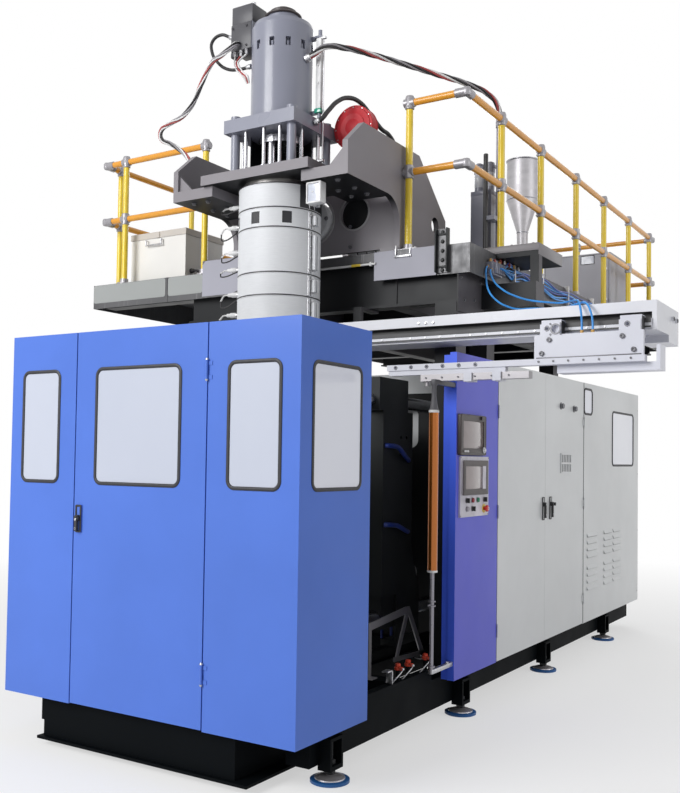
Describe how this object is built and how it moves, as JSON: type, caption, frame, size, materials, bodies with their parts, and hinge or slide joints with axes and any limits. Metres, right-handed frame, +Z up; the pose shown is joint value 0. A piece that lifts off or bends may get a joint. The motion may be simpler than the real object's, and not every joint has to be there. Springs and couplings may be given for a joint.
{
  "type": "blow moulding machine",
  "caption": "Blow moulding machine with a glazed front guard, a two-platen clamp, a parison head on gooseneck arms, a raised extruder platform with railing, and a part take-out beam.",
  "frame": {"origin": "centre of the bounding box, on the floor", "axes": "+Z up, -Y towards the front guard, +X towards the operator's control panel"},
  "size_m": [4.583, 6.808, 4.805],
  "materials": {
    "black_paint": "satin",
    "blue_steel": "satin",
    "bright_steel": "satin",
    "cast_iron": "painted",
    "deck_grey": "satin",
    "yellow_paint": "gloss",
    "guard_blue": "gloss",
    "pale_paint": "satin",
    "glazing": "satin",
    "black_plastic": "matte",
    "red_plastic": "gloss",
    "green_plastic": "gloss",
    "grey_plastic": "matte",
    "amber_paint": "gloss",
    "cabinet_silver": "satin",
    "arm_grey": "satin",
    "stainless": "satin",
    "cable_black": "matte",
    "hose_blue": "gloss"
  },
  "bodies": {
    "root": {"base_frame": "black_paint", "levelling_feet": "blue_steel", "tie_rods": "bright_steel", "end_plates": "black_paint", "clamp_cylinders": "black_paint", "platform_frame": "black_paint", "platform_deck": "deck_grey", "railing": "yellow_paint", "guard_frame": "black_paint", "guard_left_panel": "guard_blue", "guard_right_panel": "guard_blue", "window_panes": "glazing", "control_column": "blue_steel", "parison_controller": "black_plastic", "operator_panel": "grey_plastic", "light_curtain": "amber_paint", "cabinet_shell": "cabinet_silver", "electrical_plate": "cabinet_silver", "left_arm": "arm_grey", "right_arm": "arm_grey", "barrel_bracket": "arm_grey", "head_plate": "arm_grey", "head_body": "stainless", "heater_bands": "stainless", "cylinder_mount": "arm_grey", "shot_cylinder": "bright_steel", "extruder_barrel": "stainless", "extruder_drive": "blue_steel", "hopper": "stainless", "drive_cabinet": "cabinet_silver", "takeout_beam": "pale_paint", "junction_box": "cabinet_silver", "air_unit": "cabinet_silver", "blower": "red_plastic", "cable_bundle_left": "cable_black", "cable_bundle_right": "cable_black", "valve_hose": "cable_black", "arm_hose": "cable_black", "air_hose_1": "hose_blue", "air_hose_2": "hose_blue"},
    "front_door": {"front_door": "guard_blue", "door_window": "glazing"},
    "door_lever": {"door_lever": "black_plastic"},
    "front_platen": {"front_platen": "cast_iron"},
    "rear_platen": {"rear_platen": "cast_iron"},
    "red_button": {"red_button": "red_plastic"},
    "green_button": {"green_button": "green_plastic"},
    "grey_button": {"grey_button": "grey_plastic"},
    "mode_selector": {"mode_selector": "black_plastic"},
    "heater_selector": {"heater_selector": "black_plastic"},
    "speed_selector": {"speed_selector": "black_plastic"},
    "emergency_stop": {"emergency_stop": "red_plastic"},
    "cabinet_door_front": {"cabinet_door_front": "cabinet_silver"},
    "cabinet_door_rear": {"cabinet_door_rear": "cabinet_silver"},
    "cabinet_lever_front": {"cabinet_lever_front": "black_plastic"},
    "cabinet_lever_rear": {"cabinet_lever_rear": "black_plastic"},
    "shot_piston": {"shot_piston": "bright_steel"},
    "takeout_carriage": {"takeout_carriage": "bright_steel"},
    "takeout_arm": {"takeout_arm": "bright_steel"},
    "junction_lid": {"junction_lid": "grey_plastic"}
  },
  "joints": [
    {"name": "front_door_hinge", "type": "hinge", "parent": "root", "child": "front_door", "pos_m": [0.4865, -3.384, 1.29], "axis": [0, 0, 1], "range_deg": [0, 110]},
    {"name": "door_lever_turn", "type": "hinge", "parent": "front_door", "child": "door_lever", "pos_m": [-0.3885, -3.384, 1.27], "axis": [0, 1, 0], "range_deg": [0, 90]},
    {"name": "platen_close", "type": "slide", "parent": "root", "child": "front_platen", "axis": [0, 1, 0], "range_m": [0, 0.16]},
    {"name": "rear_platen_close", "type": "slide", "parent": "root", "child": "rear_platen", "axis": [0, 1, 0], "range_m": [-0.16, 0]},
    {"name": "red_button_press", "type": "slide", "parent": "root", "child": "red_button", "axis": [-1, 0, 0], "range_m": [0, 0.003], "stiffness_N_per_m": 900, "springref_m": -0.003},
    {"name": "green_button_press", "type": "slide", "parent": "root", "child": "green_button", "axis": [-1, 0, 0], "range_m": [0, 0.003], "stiffness_N_per_m": 900, "springref_m": -0.003},
    {"name": "grey_button_press", "type": "slide", "parent": "root", "child": "grey_button", "axis": [-1, 0, 0], "range_m": [0, 0.003], "stiffness_N_per_m": 900, "springref_m": -0.003},
    {"name": "emergency_stop_press", "type": "slide", "parent": "root", "child": "emergency_stop", "axis": [-1, 0, 0], "range_m": [0, 0.004], "stiffness_N_per_m": 1800, "springref_m": -0.003},
    {"name": "mode_selector_turn", "type": "hinge", "parent": "root", "child": "mode_selector", "pos_m": [1.0535, -1.544, 1.361], "axis": [1, 0, 0], "range_deg": [-45, 45]},
    {"name": "heater_selector_turn", "type": "hinge", "parent": "root", "child": "heater_selector", "pos_m": [1.0535, -1.272, 1.361], "axis": [1, 0, 0], "range_deg": [0, 90]},
    {"name": "speed_selector_turn", "type": "hinge", "parent": "root", "child": "speed_selector", "pos_m": [1.0535, -1.456, 1.308], "axis": [1, 0, 0], "range_deg": [-60, 60]},
    {"name": "cabinet_door_front_hinge", "type": "hinge", "parent": "root", "child": "cabinet_door_front", "pos_m": [1.0485, -1.011, 1.27], "axis": [0, 0, -1], "range_deg": [0, 105]},
    {"name": "cabinet_door_rear_hinge", "type": "hinge", "parent": "root", "child": "cabinet_door_rear", "pos_m": [1.0485, 0.839, 1.27], "axis": [0, 0, 1], "range_deg": [0, 105]},
    {"name": "cabinet_lever_front_turn", "type": "hinge", "parent": "cabinet_door_front", "child": "cabinet_lever_front", "pos_m": [1.0485, -0.133, 1.29], "axis": [1, 0, 0], "range_deg": [0, 90]},
    {"name": "cabinet_lever_rear_turn", "type": "hinge", "parent": "cabinet_door_rear", "child": "cabinet_lever_rear", "pos_m": [1.0485, 0.024, 1.29], "axis": [1, 0, 0], "range_deg": [-90, 0]},
    {"name": "shot_piston_stroke", "type": "slide", "parent": "root", "child": "shot_piston", "axis": [0, 0, -1], "range_m": [0, 0.2]},
    {"name": "carriage_travel", "type": "slide", "parent": "root", "child": "takeout_carriage", "axis": [-1, 0, 0], "range_m": [0, 1.3], "deforming": ["air_hose_1", "air_hose_2"]},
    {"name": "takeout_arm_slide", "type": "slide", "parent": "takeout_carriage", "child": "takeout_arm", "axis": [-1, 0, 0], "range_m": [0, 0.3]},
    {"name": "junction_lid_hinge", "type": "hinge", "parent": "root", "child": "junction_lid", "pos_m": [-1.7565, -0.86, 3.3633], "axis": [-1, 0, 0], "range_deg": [0, 100]}
  ],
  "couplings": [
    {"joint": "rear_platen_close", "follows": "platen_close", "ratio": -1}
  ]
}
